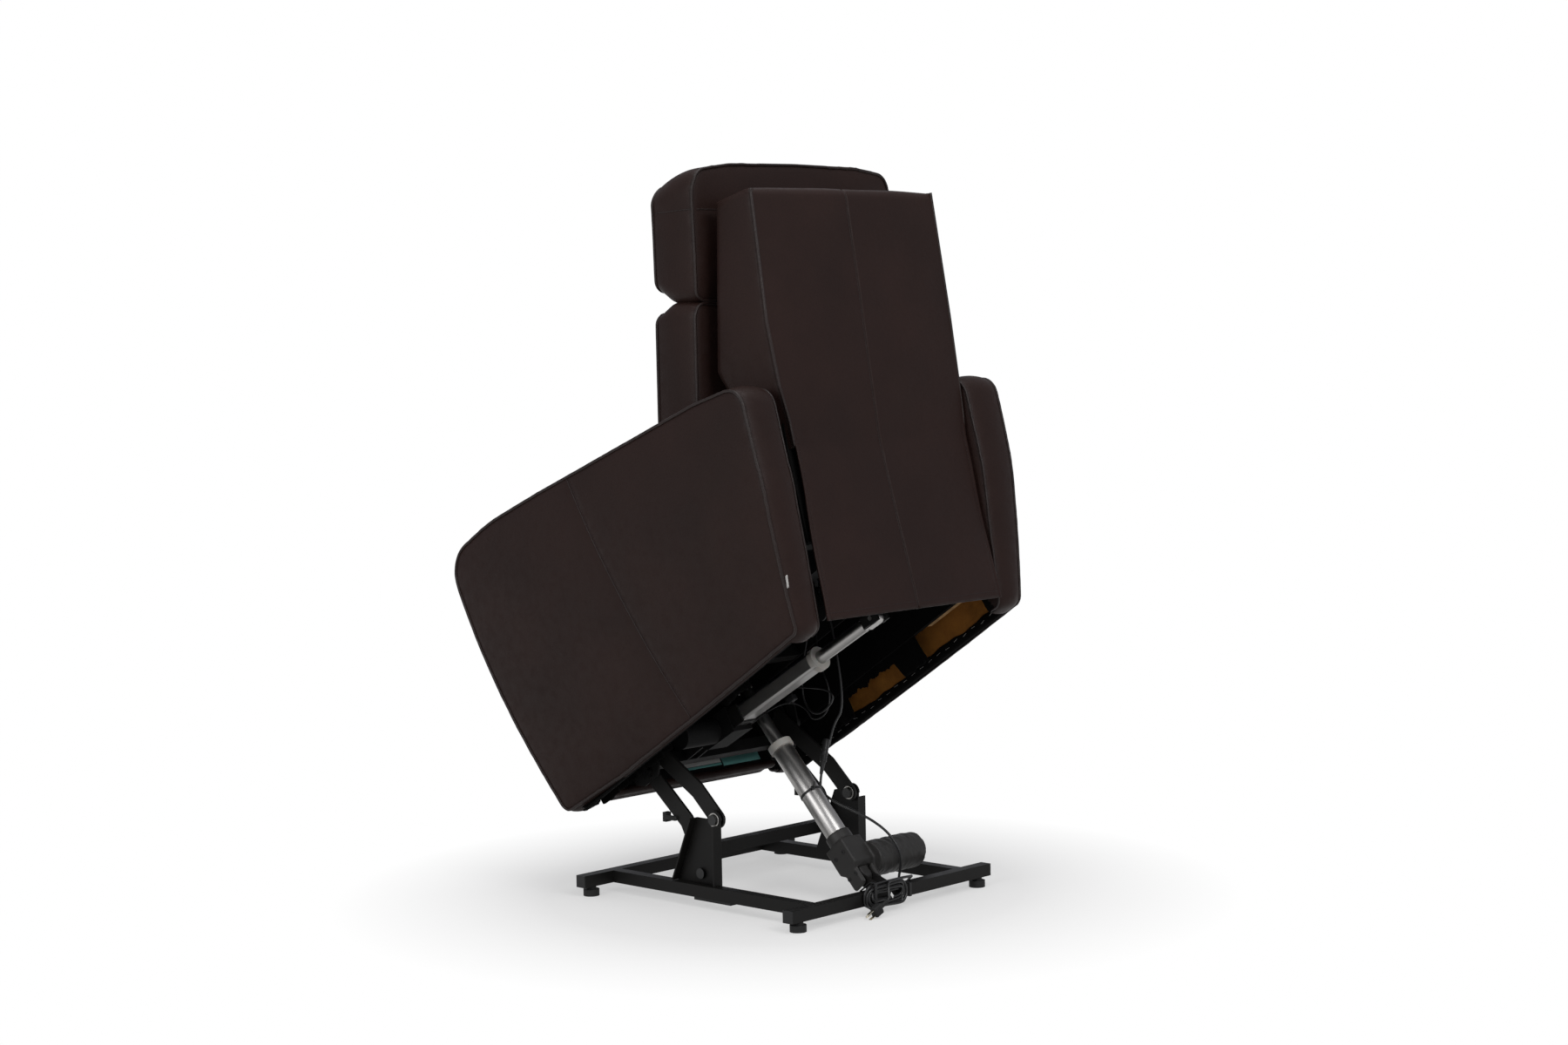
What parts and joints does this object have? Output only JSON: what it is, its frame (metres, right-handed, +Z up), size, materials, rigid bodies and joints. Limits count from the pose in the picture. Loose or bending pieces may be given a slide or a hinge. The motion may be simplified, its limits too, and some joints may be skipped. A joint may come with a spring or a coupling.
{
  "type": "lift recliner chair",
  "caption": "Powered lift recliner chair in dark leather, raised and tilted forward on a black steel lift base.",
  "frame": {"origin": "centre of the bounding box on the floor, with the chair raised", "axes": "+X to the sitter's left, +Y to the rear of the chair, +Z up"},
  "size_m": [0.7944, 0.9801, 1.516],
  "materials": {
    "leather": "semi-gloss leather over foam",
    "wood": "plain",
    "lining_board": "matte",
    "aluminium": "satin",
    "steel": "satin",
    "pale_plastic": "matte",
    "black_plastic": "matte",
    "black_rubber": "matte",
    "black_steel": "satin black"
  },
  "bodies": {
    "base": {"base_front_rail": "black_steel", "base_rear_rail": "black_steel", "base_side_rail_left": "black_steel", "base_side_rail_right": "black_steel", "rail_end_caps": "black_plastic", "leveling_feet": "black_plastic", "rail_pads": "black_plastic", "lift_bracket_left": "black_steel", "lift_bracket_right": "black_steel", "base_pivot_pins": "black_steel", "lift_motor_clevis": "black_steel", "power_cord_hank": "black_rubber", "power_cord_ends": "black_rubber", "power_plug": "black_rubber", "cord_straps": "black_plastic"},
    "rear_links": {"rear_lift_link_left": "black_steel", "rear_lift_link_right": "black_steel"},
    "front_links": {"front_lift_link_left": "black_steel", "front_lift_link_right": "black_steel", "lift_cross_tube": "black_steel", "link_bumpers": "black_rubber"},
    "lift_motor": {"lift_gearbox": "black_plastic", "lift_motor_can": "black_plastic", "lift_outer_tube": "aluminium", "lift_tube_collar": "pale_plastic", "power_cord_lead": "black_rubber", "cable_tie": "black_plastic", "cable_connector": "black_plastic"},
    "lift_rod": {"lift_inner_tube": "steel"},
    "chair": {"seat_side_plate_left": "black_steel", "seat_side_plate_right": "black_steel", "chair_pivot_pins": "black_steel", "seat_cross_rails": "black_steel", "recline_front_mount": "black_steel", "lift_top_mount": "black_steel", "seat_deck": "wood", "seat_cushion": "leather", "arm_left": "leather", "arm_right": "leather", "arm_board_left": "lining_board", "arm_board_right": "lining_board", "control_box": "black_plastic", "control_cable": "black_rubber", "handset_case": "black_plastic"},
    "backrest": {"back_hinge_arms": "black_steel", "back_frame": "wood", "back_shell": "leather", "back_cushion": "leather", "headrest": "leather"},
    "recline_motor": {"recline_gearmotor": "black_plastic", "recline_outer_tube": "aluminium", "recline_tube_collar": "pale_plastic"},
    "recline_rod": {"recline_inner_tube": "steel"},
    "footrest_cranks": {"footrest_cranks": "black_steel"},
    "footrest_links": {"footrest_links": "black_steel"},
    "footrest_panel": {"footrest_board": "wood", "footrest_pad": "leather"},
    "push_rods": {"footrest_push_rods": "black_steel"},
    "lift_key": {"lift_key": "black_plastic"},
    "recline_key": {"recline_key": "black_plastic"}
  },
  "joints": [
    {"name": "lift", "type": "hinge", "parent": "base", "child": "rear_links", "pos_m": [0, 0.1233, 0.181], "axis": [1, 0, 0], "range_deg": [0, 42.49]},
    {"name": "front_link_swing", "type": "hinge", "parent": "base", "child": "front_links", "pos_m": [0, 0.0863, 0.066], "axis": [1, 0, 0], "range_deg": [0, 50.17]},
    {"name": "chair_tilt", "type": "hinge", "parent": "rear_links", "child": "chair", "pos_m": [0, -0.09701, 0.33355], "axis": [1, 0, 0], "range_deg": [-75.73, 0]},
    {"name": "lift_motor_tilt", "type": "hinge", "parent": "base", "child": "lift_motor", "pos_m": [-0.005, 0.3373, 0.055], "axis": [1, 0, 0], "range_deg": [0, 27.26]},
    {"name": "lift_rod_slide", "type": "slide", "parent": "lift_motor", "child": "lift_rod", "axis": [0, -0.6759, 0.737], "range_m": [-0.1423, 0]},
    {"name": "recline", "type": "hinge", "parent": "chair", "child": "backrest", "pos_m": [0, 0.29668, 0.81919], "axis": [-1, 0, 0], "range_deg": [0, 28]},
    {"name": "recline_motor_tilt", "type": "hinge", "parent": "chair", "child": "recline_motor", "pos_m": [0.052, -0.06009, 0.3055], "axis": [1, 0, 0], "range_deg": [0, 3.5]},
    {"name": "recline_rod_slide", "type": "slide", "parent": "recline_motor", "child": "recline_rod", "axis": [0, 0.8558, 0.5174], "range_m": [-0.11938, 0]},
    {"name": "footrest_crank_swing", "type": "hinge", "parent": "chair", "child": "footrest_cranks", "pos_m": [0, -0.09625, 0.50659], "axis": [-1, 0, 0], "range_deg": [0, 63.33]},
    {"name": "footrest_link_swing", "type": "hinge", "parent": "footrest_cranks", "child": "footrest_links", "pos_m": [0, -0.04925, 0.31734], "axis": [1, 0, 0], "range_deg": [0, 92.28]},
    {"name": "footrest_panel_swing", "type": "hinge", "parent": "footrest_links", "child": "footrest_panel", "pos_m": [0, -0.23568, 0.37453], "axis": [1, 0, 0], "range_deg": [-118.95, 0]},
    {"name": "push_rod_swing", "type": "hinge", "parent": "backrest", "child": "push_rods", "pos_m": [0, 0.35041, 0.73723], "axis": [1, 0, 0], "range_deg": [0, 29.38]},
    {"name": "lift_key_press", "type": "hinge", "parent": "chair", "child": "lift_key", "pos_m": [-0.3895, -0.20617, 0.71074], "axis": [0, 0.8363, 0.5483], "range_deg": [-6, 6], "stiffness_Nm_per_rad": 0.05},
    {"name": "recline_key_press", "type": "hinge", "parent": "chair", "child": "recline_key", "pos_m": [-0.3895, -0.18644, 0.68063], "axis": [0, 0.8363, 0.5483], "range_deg": [-6, 6], "stiffness_Nm_per_rad": 0.05}
  ],
  "couplings": [
    {"joint": "front_link_swing", "follows": "lift", "ratio": 1.1809},
    {"joint": "chair_tilt", "follows": "lift", "ratio": -1.7826},
    {"joint": "lift_motor_tilt", "follows": "lift", "ratio": 0.64163},
    {"joint": "lift_rod_slide", "follows": "lift", "m_per_rad": -0.19191},
    {"joint": "recline_motor_tilt", "follows": "recline", "ratio": 0.12494},
    {"joint": "recline_rod_slide", "follows": "recline", "m_per_rad": -0.24428},
    {"joint": "footrest_crank_swing", "follows": "recline", "ratio": 2.2618},
    {"joint": "footrest_link_swing", "follows": "recline", "ratio": 3.2957},
    {"joint": "footrest_panel_swing", "follows": "recline", "ratio": -4.2481},
    {"joint": "push_rod_swing", "follows": "recline", "ratio": 1.0492}
  ]
}
